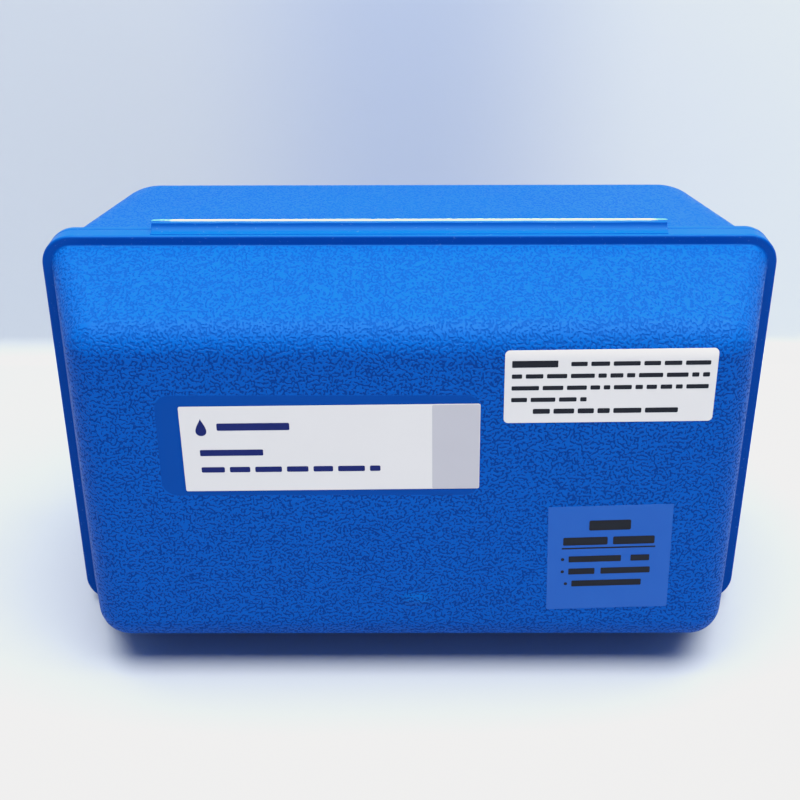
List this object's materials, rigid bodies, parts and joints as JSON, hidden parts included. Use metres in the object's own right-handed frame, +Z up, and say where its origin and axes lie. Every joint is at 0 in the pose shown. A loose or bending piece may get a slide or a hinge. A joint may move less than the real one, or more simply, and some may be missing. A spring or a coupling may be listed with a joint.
{
  "type": "water test kit",
  "caption": "Hinged moulded plastic case on its latch side, with labels on the lid, holding dropper bottles, a colour comparator and a booklet.",
  "frame": {"origin": "middle of the lid rim's foot, the edge the case stands on", "axes": "+Z up with the case standing on its latch side, +X along the case's width, +Y from the lid towards the back of the base"},
  "size_m": [0.25, 0.1247, 0.1538],
  "materials": {
    "case_blue": "moulded leather grain, smooth at the rim and hinge",
    "whitened_plastic": "stress-whitened fold",
    "white_label": "satin label stock",
    "clear_film": "satin translucent film",
    "tray_white": "vacuum-formed sheet",
    "booklet_print": "coated paper",
    "paper_white": "uncoated paper",
    "clear_acrylic": "polished clear plastic",
    "opal_white": "opal white sheet",
    "yellow_tint": "tinted clear plastic, pale to deep",
    "red_tint": "tinted clear plastic, orange to crimson",
    "cell_clear": "polished clear plastic",
    "stopper_white": "soft moulded plastic",
    "bottle_natural": "natural squeezable plastic",
    "tip_natural": "natural plastic",
    "cap_yellow": "ribbed screw cap",
    "cap_red": "ribbed screw cap",
    "cap_blue": "ribbed screw cap",
    "cap_green": "ribbed screw cap",
    "cap_grey": "ribbed screw cap",
    "reagent_1": "pale yellow liquid",
    "reagent_2": "red liquid",
    "reagent_3": "clear liquid",
    "reagent_4": "green liquid",
    "reagent_5": "clear liquid"
  },
  "bodies": {
    "base": {"base_shell": "case_blue", "base_hinge_leaf": "case_blue", "hinge_crease": "whitened_plastic", "insert_tray": "tray_white"},
    "lid": {"lid_shell": "case_blue", "lid_hinge_leaf": "case_blue", "main_label": "white_label", "notice_label": "white_label", "clear_label": "clear_film"},
    "booklet": {"booklet_cover": "booklet_print", "booklet_pages": "paper_white"},
    "left_latch": {"left_latch_tab": "case_blue"},
    "right_latch": {"right_latch_tab": "case_blue"},
    "comparator": {"comparator_body": "clear_acrylic", "comparator_diffuser": "opal_white", "yellow_standards": "yellow_tint", "red_standards": "red_tint", "sanitiser_cell": "cell_clear", "ph_cell": "cell_clear"},
    "sanitiser_stopper": {"sanitiser_stopper": "stopper_white"},
    "ph_stopper": {"ph_stopper": "stopper_white"},
    "bottle_1": {"bottle_1": "bottle_natural", "dropper_tip_1": "tip_natural", "bottle_label_1": "white_label", "reagent_1": "reagent_1"},
    "cap_1": {"bottle_cap_1": "cap_yellow"},
    "bottle_2": {"bottle_2": "bottle_natural", "dropper_tip_2": "tip_natural", "bottle_label_2": "white_label", "reagent_2": "reagent_2"},
    "cap_2": {"bottle_cap_2": "cap_red"},
    "bottle_3": {"bottle_3": "bottle_natural", "dropper_tip_3": "tip_natural", "bottle_label_3": "white_label", "reagent_3": "reagent_3"},
    "cap_3": {"bottle_cap_3": "cap_blue"},
    "bottle_4": {"bottle_4": "bottle_natural", "dropper_tip_4": "tip_natural", "bottle_label_4": "white_label", "reagent_4": "reagent_4"},
    "cap_4": {"bottle_cap_4": "cap_green"},
    "bottle_5": {"bottle_5": "bottle_natural", "dropper_tip_5": "tip_natural", "bottle_label_5": "white_label", "reagent_5": "reagent_5"},
    "cap_5": {"bottle_cap_5": "cap_grey"}
  },
  "joints": [
    {"name": "lid_hinge", "type": "hinge", "parent": "base", "child": "lid", "pos_m": [0, 0.0035, 0.1533], "axis": [-1, 0, 0], "range_deg": [0, 180]},
    {"name": "left_latch_flex", "type": "hinge", "parent": "lid", "child": "left_latch", "pos_m": [-0.062, -0.0021, 0.0007], "axis": [-1, 0, 0], "range_deg": [0, 8]},
    {"name": "right_latch_flex", "type": "hinge", "parent": "lid", "child": "right_latch", "pos_m": [0.062, -0.0021, 0.0007], "axis": [-1, 0, 0], "range_deg": [0, 8]},
    {"name": "booklet_slide", "type": "slide", "parent": "lid", "child": "booklet", "axis": [1, 0, 0], "range_m": [0, 0.02]},
    {"name": "comparator_lift", "type": "slide", "parent": "base", "child": "comparator", "axis": [0, -1, 0], "range_m": [0, 0.034]},
    {"name": "sanitiser_stopper_lift", "type": "slide", "parent": "comparator", "child": "sanitiser_stopper", "axis": [0, -1, 0], "range_m": [0, 0.008]},
    {"name": "ph_stopper_lift", "type": "slide", "parent": "comparator", "child": "ph_stopper", "axis": [0, -1, 0], "range_m": [0, 0.008]},
    {"name": "bottle_1_lift", "type": "slide", "parent": "base", "child": "bottle_1", "axis": [0, -1, 0], "range_m": [0, 0.034]},
    {"name": "cap_1_unscrew", "type": "hinge", "parent": "bottle_1", "child": "cap_1", "pos_m": [-0.076, 0.0167, 0.103], "axis": [0, -1, 0], "range_deg": [0, 360]},
    {"name": "bottle_2_lift", "type": "slide", "parent": "base", "child": "bottle_2", "axis": [0, -1, 0], "range_m": [0, 0.034]},
    {"name": "cap_2_unscrew", "type": "hinge", "parent": "bottle_2", "child": "cap_2", "pos_m": [-0.038, 0.0167, 0.103], "axis": [0, -1, 0], "range_deg": [0, 360]},
    {"name": "bottle_3_lift", "type": "slide", "parent": "base", "child": "bottle_3", "axis": [0, -1, 0], "range_m": [0, 0.034]},
    {"name": "cap_3_unscrew", "type": "hinge", "parent": "bottle_3", "child": "cap_3", "pos_m": [0, 0.0167, 0.103], "axis": [0, -1, 0], "range_deg": [0, 360]},
    {"name": "bottle_4_lift", "type": "slide", "parent": "base", "child": "bottle_4", "axis": [0, -1, 0], "range_m": [0, 0.034]},
    {"name": "cap_4_unscrew", "type": "hinge", "parent": "bottle_4", "child": "cap_4", "pos_m": [0.038, 0.0167, 0.103], "axis": [0, -1, 0], "range_deg": [0, 360]},
    {"name": "bottle_5_lift", "type": "slide", "parent": "base", "child": "bottle_5", "axis": [0, -1, 0], "range_m": [0, 0.034]},
    {"name": "cap_5_unscrew", "type": "hinge", "parent": "bottle_5", "child": "cap_5", "pos_m": [0.076, 0.0167, 0.103], "axis": [0, -1, 0], "range_deg": [0, 360]}
  ]
}
